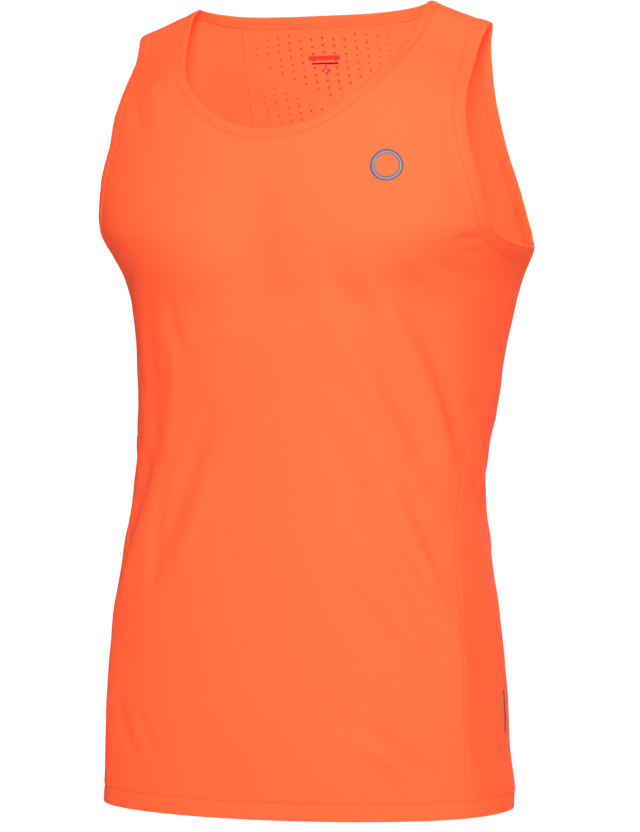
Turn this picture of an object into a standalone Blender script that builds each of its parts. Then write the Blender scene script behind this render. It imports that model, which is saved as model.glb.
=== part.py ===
"""A running singlet, filled out as if worn by nobody: four cut panels, a bound neck, two bound armholes, a
turned-up hem and a small chest badge. Metres, +Z up, the chest faces -Y and the wearer's left is +X. The origin
is where the wearer holds the singlet up: the middle between the two shoulder lines."""

import math

import bpy
import numpy as np

WALL = 0.0012  # knit cloth, with the air that it traps
BAND_WALL = 0.0018  # folded binding
BAND_PROUD = 0.0003  # how far a binding stands over the panel beside it
GAP = 0.0003  # between two pieces that are sewn together
NECK_BAND = 0.0088  # width of the neck binding
ARMHOLE_BAND = 0.0115  # width of an armhole binding
HEM_DEPTH = 0.0145  # from the hem's fold to its stitching
HEM_WALL = 0.0010
HEM_GAP = 0.0006  # between a panel and the turned-up cloth inside it

NECK_HALF = 0.1085  # half the neck's width at the shoulder line
NECK_FRONT_DROP = 0.118
NECK_BACK_DROP = 0.008
SHOULDER_SLOPE = 0.39  # fall of the shoulder line for each metre outwards
SLOPE_FADES_BY = 0.20  # depth below the shoulders at which that slope is gone
UNDERARM_LIFT = 0.007  # how far the cloth under the arm flicks up at its outermost point
UNDERARM_HEIGHT = -0.219
HEM_RISE = 0.004  # how much higher the hem lies at the sides than at the front
HEM_RISE_FROM = -0.60

# The form that the cloth hangs on, from the shoulder line down to the hem. Each row is a level ring.
# height, half width, front and back from the shoulder line, y of the widest point, squareness front and back
FORM = np.array([
    (0.000, 0.1980, 0.000, 0.000, 0.000, 2.20, 2.20),
    (-0.004, 0.1980, 0.016, 0.008, 0.000, 2.20, 2.20),
    (-0.014, 0.1980, 0.029, 0.014, 0.000, 2.20, 2.20),
    (-0.030, 0.1980, 0.046, 0.020, 0.000, 2.20, 2.20),
    (-0.050, 0.1980, 0.071, 0.028, 0.000, 2.25, 2.20),
    (-0.070, 0.1980, 0.095, 0.038, 0.001, 2.30, 2.25),
    (-0.092, 0.1980, 0.111, 0.050, 0.005, 2.40, 2.30),
    (-0.120, 0.1980, 0.120, 0.064, 0.012, 2.50, 2.30),
    (-0.160, 0.1980, 0.130, 0.081, 0.020, 2.70, 2.40),
    (-0.200, 0.1960, 0.135, 0.093, 0.031, 2.75, 2.50),
    (-0.222, 0.1880, 0.134, 0.097, 0.044, 2.65, 2.50),
    (-0.240, 0.1780, 0.133, 0.099, 0.047, 2.60, 2.45),
    (-0.262, 0.1725, 0.131, 0.099, 0.043, 2.50, 2.40),
    (-0.295, 0.1670, 0.129, 0.096, 0.034, 2.40, 2.40),
    (-0.335, 0.1630, 0.126, 0.090, 0.021, 2.35, 2.35),
    (-0.380, 0.1595, 0.124, 0.082, 0.004, 2.30, 2.30),
    (-0.430, 0.1590, 0.124, 0.077, -0.013, 2.30, 2.30),
    (-0.480, 0.1655, 0.128, 0.080, -0.024, 2.30, 2.30),
    (-0.530, 0.1735, 0.131, 0.088, -0.029, 2.30, 2.30),
    (-0.580, 0.1785, 0.133, 0.097, -0.028, 2.30, 2.30),
    (-0.640, 0.1825, 0.135, 0.105, -0.029, 2.30, 2.30),
    (-0.711, 0.1860, 0.136, 0.110, -0.029, 2.30, 2.30),
])
HEM = FORM[-1][0]

# The armhole's edge: height, then its angle round the form from the centre front, in degrees, front and back.
ARMHOLE = np.array([
    (0.000, 54.0, 126.0),
    (-0.020, 52.3, 128.0),
    (-0.045, 51.8, 128.2),
    (-0.080, 51.4, 128.8),
    (-0.115, 52.0, 127.8),
    (-0.150, 54.4, 125.4),
    (-0.180, 56.8, 122.2),
    (-0.200, 59.5, 118.5),
    (-0.213, 65.0, 113.5),
    (-0.2205, 76.0, 104.0),
    (-0.222, 90.0, 90.0),
])

# The side seam swings forward below the underarm: height, angle from the centre front in degrees.
SIDE_SEAM = np.array([
    (-0.222, 90.0),
    (-0.300, 86.0),
    (-0.380, 75.0),
    (-0.450, 67.0),
    (-0.520, 63.5),
    (-0.620, 61.0),
    (-0.711, 62.0),
])

# The seam beside the centre back panel: height, distance from the centre line.
BACK_SEAM = np.array([
    (-0.012, 0.073),
    (-0.120, 0.078),
    (-0.300, 0.086),
    (-0.430, 0.080),
    (-0.580, 0.092),
    (-0.711, 0.096),
])

# The largest folds. A fold runs from one end to the other, each given by the distance round the form from the
# centre front (the wearer's left is positive) and its height; then its half width, and how far it stands out.
FOLD_GIRTH = 0.16  # metres round the form for each radian
FOLDS = (
    # round_1, height_1, round_2, height_2, half_width, out
    (0.115, -0.270, 0.190, -0.390, 0.016, -0.0040),
    (0.095, -0.375, 0.165, -0.500, 0.016, -0.0040),
    (0.092, -0.265, 0.185, -0.420, 0.012, 0.0025),
    (-0.130, -0.390, -0.190, -0.510, 0.014, -0.0040),
    (-0.110, -0.400, -0.160, -0.520, 0.013, 0.0025),
    (-0.190, -0.250, -0.200, -0.330, 0.014, -0.0035),
    (-0.010, -0.160, -0.004, -0.270, 0.024, -0.0045),
    (0.110, -0.660, 0.165, -0.700, 0.010, -0.0025),
    (0.470, -0.330, 0.330, -0.430, 0.018, -0.0045),
    (-0.470, -0.330, -0.340, -0.440, 0.018, -0.0045),
    (0.440, -0.400, 0.300, -0.480, 0.015, 0.0030),
)

CORNER_TURN = 0.80  # share of the way down the armhole at which it turns under the arm
UPPER_ROWS = 12  # from the shoulder line to that corner
CORNER_COLUMNS = 4  # from that corner to the side seam
LOWER_ROWS = 19  # from the corner to the hem's stitching
NECK_ROWS = 8  # of the upper rows, those that meet the front neck
BELOW_CORNER = -0.205  # height on the centre lines of the row that ends at the corner
FRONT_COLUMNS = 9  # from the centre front to the corner
BACK_SIDE_COLUMNS = 6
BACK_CENTRE_COLUMNS = 4

BADGE_ROUND = 0.085  # badge centre, round the form from the centre front
BADGE_HEIGHT = -0.152
BADGE_RADIUS = 0.0145
BADGE_STROKE = 0.0045
BADGE_WALL = 0.0005

SHORT = 1e-4  # step for a slope, in rows or radians


def clear_scene():
    for obj in list(bpy.data.objects):
        bpy.data.objects.remove(obj, do_unlink=True)


def fabric(name, colour, roughness, metallic=0.0):
    """A material of one colour."""
    material = bpy.data.materials.new(name)
    material.use_nodes = True
    shader = material.node_tree.nodes["Principled BSDF"]
    shader.inputs["Base Color"].default_value = (*colour, 1.0)
    shader.inputs["Roughness"].default_value = roughness
    shader.inputs["Metallic"].default_value = metallic
    return material


# ---- The form and the curves on it. A place on it is an angle round it and a fractional row of FORM. ----


def along(table, row):
    """The table's values at fractional rows, on a smooth curve through its rows."""
    row = np.clip(row, 0, len(table) - 3)
    first = np.minimum(np.floor(row).astype(int), len(table) - 4)
    f = (row - first)[..., None]
    a, b, c, d = (table[first + k] for k in range(4))
    return 0.5 * (2 * b + (c - a) * f + (2 * a - 5 * b + 4 * c - d) * f**2 + (3 * b - a - 3 * c + d) * f**3)


def with_ends(table, before=None):
    """The table with one more row at each end, for along."""
    before = 2 * table[0] - table[1] if before is None else before
    return np.vstack([before, table, 2 * table[-1] - table[-2]])


OVER_THE_SHOULDER = np.array([1, 1, -1, -1, 1, 1, 1])  # front and back swap sides above the shoulder line
FORM_CURVE = with_ends(FORM, FORM[1] * OVER_THE_SHOULDER)
ARMHOLE_CURVE = with_ends(ARMHOLE)
FINE_ROWS = np.linspace(0, len(FORM) - 1, 2000)
FINE_HEIGHTS = along(FORM_CURVE, FINE_ROWS)[:, 0]


def row_at(height):
    return np.interp(-np.asarray(height), -FINE_HEIGHTS, FINE_ROWS)


def smooth_step(t):
    t = np.clip(t, 0.0, 1.0)
    return t * t * (3 - 2 * t)


def bare_form(angle, row):
    """The point of the form at an angle and a row, without the folds."""
    height, half_width, front, back, side_y, front_square, back_square = np.moveaxis(along(FORM_CURVE, row), -1, 0)
    across = np.sin(angle)
    ahead = np.cos(angle)
    square = np.where(ahead > 0, front_square, back_square)
    size = (np.abs(across) ** square + np.abs(ahead) ** square) ** (-1 / square)
    x = half_width * across * size
    depth = np.where(ahead > 0, side_y + front, back - side_y)
    y = side_y - depth * ahead * size
    outside_neck = np.maximum(np.abs(x) - NECK_HALF, 0.0)
    slope = SHOULDER_SLOPE * smooth_step(1 + height / SLOPE_FADES_BY)
    flick = smooth_step((np.abs(x) - 0.176) / 0.013) * np.exp(-(((height - UNDERARM_HEIGHT) / 0.018) ** 2))
    rise = HEM_RISE * smooth_step((height - HEM_RISE_FROM) / (HEM - HEM_RISE_FROM)) * across**2
    z = height - slope * outside_neck + UNDERARM_LIFT * flick + rise
    return np.stack([x, y, z], axis=-1)


def round_the_form(distance):
    """A distance round the form, the short way."""
    half = np.pi * FOLD_GIRTH
    return np.remainder(distance + half, 2 * half) - half


def fold_height(angle, row):
    """How far the folds move the cloth out."""
    girth = angle * FOLD_GIRTH
    height = along(FORM_CURVE, row)[..., 0]
    out = np.zeros_like(girth)
    for round_1, height_1, round_2, height_2, half_width, stands in FOLDS:
        run = np.array([round_2 - round_1, height_2 - height_1])
        length = np.hypot(*run)
        from_start = np.stack([round_the_form(girth - round_1), height - height_1], axis=-1)
        on = from_start @ run / length**2
        beside = (from_start[..., 0] * run[1] - from_start[..., 1] * run[0]) / length
        taper = smooth_step((on + 0.25) / 0.5) * smooth_step((1.25 - on) / 0.5)
        out += stands * taper * np.exp(-((beside / half_width) ** 2))
    return out


def slopes(surface, angle, row):
    """How a surface's point moves for each radian round, and for each row down."""
    row = np.clip(row, SHORT, len(FORM) - 1 - SHORT)
    by_angle = (surface(angle + SHORT, row) - surface(angle - SHORT, row)) / (2 * SHORT)
    by_row = (surface(angle, row + SHORT) - surface(angle, row - SHORT)) / (2 * SHORT)
    return by_angle, by_row


def normal_of(surface, angle, row):
    by_angle, by_row = slopes(surface, angle, row)
    across = np.cross(by_row, by_angle)
    return across / np.linalg.norm(across, axis=-1, keepdims=True)


def folded_form(angle, row):
    return bare_form(angle, row) + normal_of(bare_form, angle, row) * fold_height(angle, row)[..., None]


def cloth(angle, row, out=0.0):
    """The point of the cloth's outer face, moved out by a distance."""
    return folded_form(angle, row) + normal_of(folded_form, angle, row) * out


def angle_at(x, row, back):
    """The angle at which the form is x wide of the centre plane."""
    values = along(FORM_CURVE, np.asarray(row, float))
    square = values[..., 6 if back else 5]
    share = np.clip(np.abs(x) / values[..., 1], 0.0, 1.0)
    angle = np.arctan2(share, (1 - share**square) ** (1 / square))
    return np.pi - angle if back else angle


def neck_edge(turn, back):
    """The neck opening: turn goes from 0 at the shoulder line to 1 at the centre line."""
    turn = np.asarray(turn, float)
    x = NECK_HALF * np.cos(turn * np.pi / 2)
    if back:
        row = row_at(-NECK_BACK_DROP * (1 - np.cos(turn * np.pi / 2) ** 4))
    else:
        row = row_at(-NECK_FRONT_DROP * np.sin(turn * np.pi / 2))
    return np.stack([angle_at(x, row, back), row], axis=-1)


def armhole_edge(turn, back):
    """The armhole: turn goes from 0 at the shoulder line to 1 under the arm."""
    height, front_angle, back_angle = along(ARMHOLE_CURVE, np.asarray(turn, float) * (len(ARMHOLE) - 1)).T
    return np.stack([np.radians(back_angle if back else front_angle), row_at(height)], axis=-1)


OPENING_MIDDLE = {neck_edge: np.array([0.0, -0.05, 0.0]), armhole_edge: np.array([0.20, 0.0, -0.11])}


def inset(edge, turn, back, distance):
    """Points of the cloth at a distance from an opening's edge, as angles and rows."""
    turn = np.asarray(turn, float)
    middle = np.clip(turn, 2 * SHORT, 1 - 2 * SHORT)
    at = edge(turn, back)
    by_angle, by_row = slopes(bare_form, at[:, 0], at[:, 1])
    way = edge(middle + SHORT, back) - edge(middle - SHORT, back)
    along_edge = by_angle * way[:, :1] + by_row * way[:, 1:]
    across = np.cross(np.cross(by_row, by_angle), along_edge)
    outwards = (across * (bare_form(at[:, 0], at[:, 1]) - OPENING_MIDDLE[edge])).sum(-1, keepdims=True)
    across *= np.sign(outwards) / np.linalg.norm(across, axis=-1, keepdims=True)
    basis = np.stack([by_angle, by_row], axis=-1)
    step = np.linalg.solve(np.swapaxes(basis, 1, 2) @ basis, np.swapaxes(basis, 1, 2) @ across[..., None])[..., 0]
    long_round = np.linalg.norm(by_angle, axis=-1)
    long_down = np.linalg.norm(by_row, axis=-1)
    along_shoulder = np.stack([np.sign(step[:, 0]) / long_round, 0 * turn], axis=-1)
    straight_down = np.stack([0 * turn, 1 / long_down], axis=-1)
    step = np.where(turn[:, None] < 0.001, along_shoulder, step)
    step = np.where(turn[:, None] > 0.999, straight_down, step)
    return at + step * distance


def beside(points, distance):
    """The points of a seam, moved round the form by a distance."""
    by_angle, _ = slopes(bare_form, points[:, 0], points[:, 1])
    moved = points.copy()
    moved[:, 0] += distance / np.linalg.norm(by_angle, axis=-1)
    return moved


def between(left, right, columns):
    """A grid of places, from the points of one edge to those of another."""
    share = np.linspace(0, 1, columns + 1)[None, :, None]
    return left[:, None] * (1 - share) + right[:, None] * share


def mirrored(grid):
    return grid * np.array([-1.0, 1.0])


def both_sides(grids):
    return grids + [mirrored(grid) for grid in grids]


# ---- The edges of the panels, row by row. ----

def turns(first, last, count):
    """Where the rows meet an opening: the second lies close to the shoulder line, where the cloth turns over."""
    return np.concatenate([[first, 0.015], np.linspace(first, last, count)[1:]])


def down(first):
    """Heights of the lower rows, then the hem's stitching and its edge."""
    return np.append(np.linspace(first, HEM + HEM_DEPTH, LOWER_ROWS)[1:], HEM)


def fine(table):
    return along(with_ends(table), np.linspace(0, len(table) - 1, 200))


def side_seam(heights):
    seam = fine(SIDE_SEAM)
    return np.stack([np.radians(np.interp(-heights, -seam[:, 0], seam[:, 1])), row_at(heights)], axis=-1)


def back_seam(heights):
    seam = fine(BACK_SEAM)
    rows = row_at(heights)
    return np.stack([angle_at(np.interp(-heights, -seam[:, 0], seam[:, 1]), rows, True), rows], axis=-1)


def height_of(place):
    return float(along(FORM_CURVE, place[1])[0])


ARMHOLE_TURNS = turns(0.0, CORNER_TURN, UPPER_ROWS)
CORNER_TURNS = np.linspace(CORNER_TURN, 1.0, CORNER_COLUMNS + 1)
NECK_TURNS_FRONT = turns(0.0, 1.0, NECK_ROWS)
NECK_TURNS_BACK = np.array([0.0, 0.06, 0.18, 0.34, 0.53])  # from the shoulder line to the back seam
CENTRE_TURNS_BACK = np.linspace(0.53, 1.0, BACK_CENTRE_COLUMNS + 1)

neck_front = inset(neck_edge, NECK_TURNS_FRONT, False, NECK_BAND)
neck_corner = inset(neck_edge, NECK_TURNS_BACK, True, NECK_BAND)
neck_centre = inset(neck_edge, CENTRE_TURNS_BACK, True, NECK_BAND)


def centre_heights(first, rows):
    """Heights on a centre line or a back seam, from the neck band down."""
    return np.concatenate([np.linspace(first, BELOW_CORNER, rows + 1)[1:], down(BELOW_CORNER)])


def panel(inner_edge, back, seam_gap):
    """A panel's grids above and below the armhole's corner, from its inner edge out to the armhole and side seam."""
    armhole = inset(armhole_edge, ARMHOLE_TURNS, back, ARMHOLE_BAND)
    under_arm = inset(armhole_edge, CORNER_TURNS, back, ARMHOLE_BAND)
    side = side_seam(down(height_of(under_arm[-1])))
    columns = BACK_SIDE_COLUMNS if back else FRONT_COLUMNS
    upper = between(inner_edge[: len(armhole)], armhole, columns)
    top = np.vstack([upper[-1], under_arm[1:]])
    top[-1:] = beside(top[-1:], seam_gap)
    lower = between(inner_edge[len(armhole) :], beside(side, seam_gap), len(top) - 1)
    straight_top = between(top[:1], top[-1:], len(top) - 1)[0]
    fade = np.append(np.linspace(1, 0, LOWER_ROWS)[1:], 0.0)[:, None, None]
    lower = lower + (top - straight_top) * fade
    return [off_the_ridge(upper), np.concatenate([top[None], lower])]


def front_panel():
    heights = centre_heights(height_of(neck_front[-1]), UPPER_ROWS - NECK_ROWS)
    centre = np.stack([np.zeros(len(heights)), row_at(heights)], axis=-1)
    return panel(np.vstack([neck_front, centre]), False, -GAP / 2)


BACK_SEAM_HEIGHTS = centre_heights(height_of(neck_corner[-1]), UPPER_ROWS + 1 - len(NECK_TURNS_BACK))
seam_line = np.vstack([neck_corner[-1:], back_seam(BACK_SEAM_HEIGHTS)])


def back_side_panel():
    return panel(np.vstack([neck_corner[:-1], beside(seam_line, -GAP / 2)]), True, GAP / 2)


def back_centre_panel():
    centre = np.stack([np.full(len(seam_line), np.pi), seam_line[:, 1]], axis=-1)
    rows = between(beside(seam_line, GAP / 2), centre, BACK_CENTRE_COLUMNS)
    rows[0, 1:] = neck_centre[1:]
    return [rows]


def off_the_ridge(grid):
    """The grid with its first row moved off the shoulder line by half a gap."""
    grid = grid.copy()
    _, by_row = slopes(bare_form, grid[0, :, 0], grid[0, :, 1])
    grid[0, :, 1] += GAP / 2 / np.linalg.norm(by_row, axis=-1)
    return grid


def band_grid(edge, turns, back, width):
    """Three lines of places along an opening: its edge, the middle of the binding and the seam."""
    return np.stack([inset(edge, turns, back, share * (width - GAP)) for share in (0.0, 0.5, 1.0)], axis=1)


# ---- Solids. ----


def wall(name, grids, out, thickness, material):
    """A closed wall of cloth through grids of places; grids that share points are one piece of cloth."""
    outer, inner, faces, index_of = [], [], [], {}
    for grid in grids:
        top = cloth(grid[..., 0], grid[..., 1], out)
        under = cloth(grid[..., 0], grid[..., 1], out - thickness)
        numbers = np.zeros(grid.shape[:2], int)
        for place in np.ndindex(*grid.shape[:2]):
            key = tuple(np.round(top[place], 5))
            if key not in index_of:
                index_of[key] = len(outer)
                outer.append(top[place])
                inner.append(under[place])
            numbers[place] = index_of[key]
        for i, j in np.ndindex(grid.shape[0] - 1, grid.shape[1] - 1):
            a, b, c, d = numbers[i, j], numbers[i + 1, j], numbers[i + 1, j + 1], numbers[i, j + 1]
            one_way = top[i + 1, j + 1] - top[i, j]
            other_way = top[i + 1, j] - top[i, j + 1]
            facing = normal_of(bare_form, grid[i, j, 0], grid[i, j, 1])
            turned = np.cross(other_way, one_way) @ facing
            # The shorter diagonal, and the same one in both faces of the cloth, so that the wall stays even.
            if np.linalg.norm(one_way) < np.linalg.norm(other_way):
                pair = [(a, b, c), (a, c, d)]
            else:
                pair = [(a, b, d), (b, c, d)]
            faces += [corners if turned > 0 else corners[::-1] for corners in pair]
    count = len(outer)
    edges = {(corners[k], corners[(k + 1) % 3]) for corners in faces for k in range(3)}
    rim = [(b, a, a + count, b + count) for a, b in edges if (b, a) not in edges]
    under_faces = [tuple(n + count for n in reversed(corners)) for corners in faces]
    mesh = bpy.data.meshes.new(name)
    mesh.from_pydata(outer + inner, [], faces + under_faces + sorted(rim))
    mesh.materials.append(material)
    mesh.shade_smooth()
    mesh.set_sharp_from_angle(angle=math.radians(60))
    obj = bpy.data.objects.new(name, mesh)
    garment.objects.link(obj)
    return obj


def hem_turn_up(*panels):
    """The hem's turn-up, from its stitching to its edge, from the centre front to the centre back."""
    ends = [panels[0], panels[1][:, -2::-1], panels[2][:, 1:]]
    return np.concatenate([end[-2:] for end in ends], axis=1)


def badge_grid():
    """A ring on the wearer's left chest."""
    at = np.array([[BADGE_ROUND / FOLD_GIRTH, float(row_at(BADGE_HEIGHT))]])
    by_angle, by_row = slopes(bare_form, at[:, 0], at[:, 1])
    round_it = np.linspace(0, 2 * math.pi, 33)[:, None]
    radius = BADGE_RADIUS - BADGE_STROKE * np.linspace(0, 1, 3)[None]
    return np.stack([
        at[0, 0] + radius * np.cos(round_it) / np.linalg.norm(by_angle),
        at[0, 1] + radius * np.sin(round_it) / np.linalg.norm(by_row),
    ], axis=-1)


clear_scene()
garment = bpy.data.collections.new("running_singlet")
bpy.context.scene.collection.children.link(garment)
knit = fabric("orange_knit", (0.99, 0.18, 0.06), 0.75)
binding = fabric("orange_binding", (0.98, 0.15, 0.05), 0.7)
film = fabric("grey_film", (0.30, 0.24, 0.30), 0.35, 0.3)

front = front_panel()
back_side = back_side_panel()
back_centre = back_centre_panel()
hem = hem_turn_up(front[-1], back_side[-1], back_centre[-1])

wall("front_panel", both_sides(front), 0.0, WALL, knit)
wall("back_panel_left", back_side, 0.0, WALL, knit)
wall("back_panel_right", [mirrored(grid) for grid in back_side], 0.0, WALL, knit)
wall("back_panel_centre", both_sides(back_centre), 0.0, WALL, knit)
wall("hem_turn_up", both_sides([hem]), -WALL - HEM_GAP, HEM_WALL, knit)

neck_bands = [
    band_grid(neck_edge, NECK_TURNS_FRONT, False, NECK_BAND),
    band_grid(neck_edge, NECK_TURNS_BACK, True, NECK_BAND),
    band_grid(neck_edge, CENTRE_TURNS_BACK, True, NECK_BAND),
]
wall("neck_band", both_sides(neck_bands), BAND_PROUD, BAND_WALL, binding)

armhole_bands = [
    band_grid(armhole_edge, part_turns, back, ARMHOLE_BAND)
    for part_turns in (ARMHOLE_TURNS, CORNER_TURNS)
    for back in (False, True)
]
wall("armhole_band_left", armhole_bands, BAND_PROUD, BAND_WALL, binding)
wall("armhole_band_right", [mirrored(grid) for grid in armhole_bands], BAND_PROUD, BAND_WALL, binding)

wall("chest_badge", [badge_grid()], GAP + BADGE_WALL, BADGE_WALL, film)
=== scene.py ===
"""A running singlet in neon orange knit, filled out as if worn by nobody. Metres, +Z up, the chest faces -Y and
the wearer's left is +X. The pieces follow the order in which the singlet is put together."""

import math

import bmesh
import bpy
import numpy as np
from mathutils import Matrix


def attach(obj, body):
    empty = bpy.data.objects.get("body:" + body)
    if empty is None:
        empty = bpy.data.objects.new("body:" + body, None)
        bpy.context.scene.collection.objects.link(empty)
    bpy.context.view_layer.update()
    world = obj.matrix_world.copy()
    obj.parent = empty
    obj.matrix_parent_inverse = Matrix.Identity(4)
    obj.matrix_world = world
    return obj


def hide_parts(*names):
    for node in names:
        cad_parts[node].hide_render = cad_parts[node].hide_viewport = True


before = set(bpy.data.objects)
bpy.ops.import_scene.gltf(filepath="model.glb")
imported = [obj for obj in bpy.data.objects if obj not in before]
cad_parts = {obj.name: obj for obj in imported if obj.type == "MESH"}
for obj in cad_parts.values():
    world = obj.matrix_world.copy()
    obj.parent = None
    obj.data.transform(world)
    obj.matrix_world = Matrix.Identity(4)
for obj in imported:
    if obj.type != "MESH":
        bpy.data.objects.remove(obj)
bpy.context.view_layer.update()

# ---- Front panel ----
# One piece of smooth interlock polyester, cut from side seam to side seam. Below the arms the side seams swing
# forward. It is knitted fine, so at arm's length it reads as plain bright cloth with soft diagonal creases.

CLOTH = 0.0007  # thickness of the knit
LAP = 0.0001  # how far two sewn pieces reach over each other
NECK_BAND = 0.0088
ARMHOLE_BAND = 0.0115
HEM_DEPTH = 0.0145

NECK_HALF = 0.1085
NECK_FRONT_DROP = 0.118
NECK_BACK_DROP = 0.008
SHOULDER_SLOPE = 0.39
SLOPE_FADES_BY = 0.20
UNDERARM_LIFT = 0.007
UNDERARM_HEIGHT = -0.219
HEM_RISE = 0.004
HEM_RISE_FROM = -0.60

# The form that the cloth hangs on. Each row is a level ring:
# height, half width, front and back from the shoulder line, y of the widest point, all in millimetres; then how
# square the ring is in front and behind
FORM = np.array([
    (0, 198, 0, 0, 0, 2.20, 2.20),
    (-4, 198, 16, 8, 0, 2.20, 2.20),
    (-14, 198, 29, 14, 0, 2.20, 2.20),
    (-30, 198, 46, 20, 0, 2.20, 2.20),
    (-50, 198, 71, 28, 0, 2.25, 2.20),
    (-70, 198, 95, 38, 1, 2.30, 2.25),
    (-92, 198, 111, 50, 5, 2.40, 2.30),
    (-120, 198, 120, 64, 12, 2.50, 2.30),
    (-160, 198, 130, 81, 20, 2.70, 2.40),
    (-200, 196, 135, 93, 31, 2.75, 2.50),
    (-222, 188, 134, 97, 44, 2.65, 2.50),
    (-240, 178, 133, 99, 47, 2.60, 2.45),
    (-262, 172.5, 131, 99, 43, 2.50, 2.40),
    (-295, 167, 129, 96, 34, 2.40, 2.40),
    (-335, 163, 126, 90, 21, 2.35, 2.35),
    (-380, 159.5, 124, 82, 4, 2.30, 2.30),
    (-430, 159, 124, 77, -13, 2.30, 2.30),
    (-480, 165.5, 128, 80, -24, 2.30, 2.30),
    (-530, 173.5, 131, 88, -29, 2.30, 2.30),
    (-580, 178.5, 133, 97, -28, 2.30, 2.30),
    (-640, 182.5, 135, 105, -29, 2.30, 2.30),
    (-711, 186, 136, 110, -29, 2.30, 2.30),
])
FORM[:, :5] /= 1000
HEM = FORM[-1][0]

# The armhole's edge: height, then its angle round the form from the centre front, in degrees, front and back.
ARMHOLE = np.array([
    (0.000, 54.0, 126.0), (-0.020, 52.3, 128.0), (-0.045, 51.8, 128.2), (-0.080, 51.4, 128.8),
    (-0.115, 52.0, 127.8), (-0.150, 54.4, 125.4), (-0.180, 56.8, 122.2), (-0.200, 59.5, 118.5),
    (-0.213, 65.0, 113.5), (-0.2205, 76.0, 104.0), (-0.222, 90.0, 90.0),
])

# The side seam: height, angle from the centre front in degrees.
SIDE_SEAM = np.array([
    (-0.222, 90.0), (-0.300, 86.0), (-0.380, 75.0), (-0.450, 67.0), (-0.520, 63.5), (-0.620, 61.0), (-0.711, 62.0),
])

# The large folds and the creases that hang from them. Each runs from one end to the other, given by the distance
# round the form from the centre front (the wearer's left is positive) and its height; then half width, and how
# far it stands out, all in millimetres.
FOLD_GIRTH = 0.16  # metres round the form for each radian
FOLDS = np.array([
    # round_1, height_1, round_2, height_2, half_width, out
    (115, -270, 190, -390, 16, -4),
    (95, -375, 165, -500, 16, -4),
    (92, -265, 185, -420, 12, 2.5),
    (-130, -390, -190, -510, 14, -4),
    (-110, -400, -160, -520, 13, 2.5),
    (-190, -250, -200, -330, 14, -3.5),
    (-10, -160, -4, -270, 24, -4.5),
    (110, -660, 165, -700, 10, -2.5),
    (470, -330, 330, -430, 18, -4.5),
    (-470, -330, -340, -440, 18, -4.5),
    (440, -400, 300, -480, 15, 3),
    # Front, the wearer's left: long shallow diagonals from the chest to the waist.
    (62, -250, 150, -410, 9.5, -4),
    (46, -262, 128, -430, 12, 4.3),
    (90, -258, 172, -395, 8.5, 3.7),
    (62, -390, 146, -545, 9.5, -4.6),
    (88, -380, 152, -520, 8.5, 4),
    (72, -510, 104, -560, 8, -2.7),
    (94, -512, 130, -578, 7.5, 2.4),
    (112, -244, 156, -287, 6, -3.8),
    (128, -241, 168, -266, 5, 2.1),
    (134, -236, 174, -253, 4.5, -2.3),
    # In front of the underarm: short wrinkles square to the binding.
    (140, -212, 158, -214, 3, -2.5),
    (147, -224, 170, -226, 3.2, -2.3),
    (144, -204, 154, -203, 2.6, 1.7),
    (128, -105, 139, -181, 7, -1.7),
    # Front, the wearer's right.
    (-91, -262, -80, -312, 6.5, -2),
    (-118, -275, -122, -395, 9.5, -1.9),
    (-86, -305, -103, -392, 8.5, 2.2),
    (-56, -370, -104, -490, 9.5, -3.5),
    (-58, -422, -82, -495, 7.5, 1.7),
    (-109, -432, -108, -520, 7.5, -2.2),
    (-121, -72, -104, -108, 6, -1.7),
    (-105, -66, -87, -108, 5, 1.3),
    (-144, -212, -158, -216, 3.2, -2.1),
    (-148, -226, -168, -224, 3, -2.1),
    (-136, -240, -166, -262, 5, -2.1),
    # Above the hem.
    (68, -636, 124, -684, 6.5, 3.3),
    (84, -630, 134, -671, 5, -3.3),
    (102, -654, 142, -685, 5, 2.3),
    (46, -606, 90, -655, 8, -1.5),
    (208, -600, 237, -634, 5, 2.1),
    (180, -633, 214, -676, 5.5, -2.5),
    (176, -682, 250, -696, 4.5, -2.5),
    (-142, -618, -118, -664, 6, -2.4),
    (-114, -624, -97, -653, 5.5, -1.5),
    # Sides: where the cloth gathers at the waist.
    (194, -374, 266, -446, 5.5, 1.7),
    (204, -350, 290, -418, 7.5, -1.9),
    (226, -420, 300, -486, 8.5, -2),
    (262, -330, 330, -388, 8, 1.5),
    (-194, -376, -262, -440, 6, 1.6),
    (-210, -352, -282, -424, 8, -2),
    (-232, -428, -306, -480, 8, -1.7),
    (-268, -322, -322, -390, 7.5, 1.5),
    # Back: broad diagonals into the small of the back, and short ones under the shoulder blades.
    (400, -300, 300, -372, 9, 2.9),
    (492, -392, 372, -446, 8.5, -3.8),
    (468, -444, 342, -520, 10, -2.9),
    (420, -250, 352, -306, 8, -2.5),
    (352, -232, 312, -252, 4.5, -2.3),
    (-408, -292, -310, -366, 8.5, 2.9),
    (-486, -402, -360, -462, 9, -3.8),
    (-452, -470, -350, -530, 9.5, -2.5),
    (-428, -262, -346, -300, 7.5, -2.5),
    (-350, -230, -318, -250, 4.2, -2.3),
    (410, -628, 356, -680, 7, -2.5),
    (-400, -610, -352, -672, 7.5, -2.7),
    (-456, -650, -420, -694, 5.5, 1.7),
]) / 1000

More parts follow.
